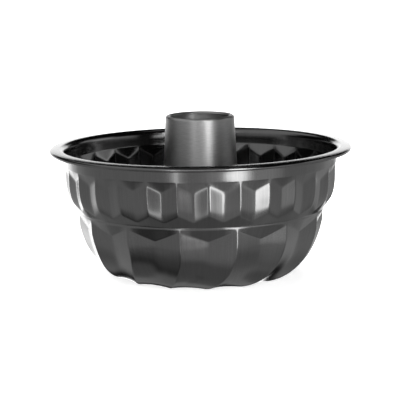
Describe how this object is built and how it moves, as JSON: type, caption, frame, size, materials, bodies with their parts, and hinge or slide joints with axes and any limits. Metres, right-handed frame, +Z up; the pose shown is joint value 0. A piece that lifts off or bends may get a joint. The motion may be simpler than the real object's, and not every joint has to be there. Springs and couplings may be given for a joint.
{
  "type": "bundt pan",
  "caption": "Fluted ring cake pan of coated sheet steel: ribbed upper wall, spiral lobes below, wide rolled-edge flange and an open conical centre tube.",
  "frame": {"origin": "centre of the base plane that the lobes stand on, on the tube's axis", "axes": "+Z up along the tube's axis, out of the mouth; -Y towards the viewer; +X to the viewer's right"},
  "size_m": [0.2368, 0.2368, 0.1266],
  "materials": {
    "nonstick_coat": "satin dark grey non-stick coating on sheet steel",
    "bright_wire": "drawn steel wire"
  },
  "bodies": {
    "root": {"fluted_bowl": "nonstick_coat", "centre_tube": "nonstick_coat", "rim_wire": "bright_wire"}
  },
  "joints": []
}
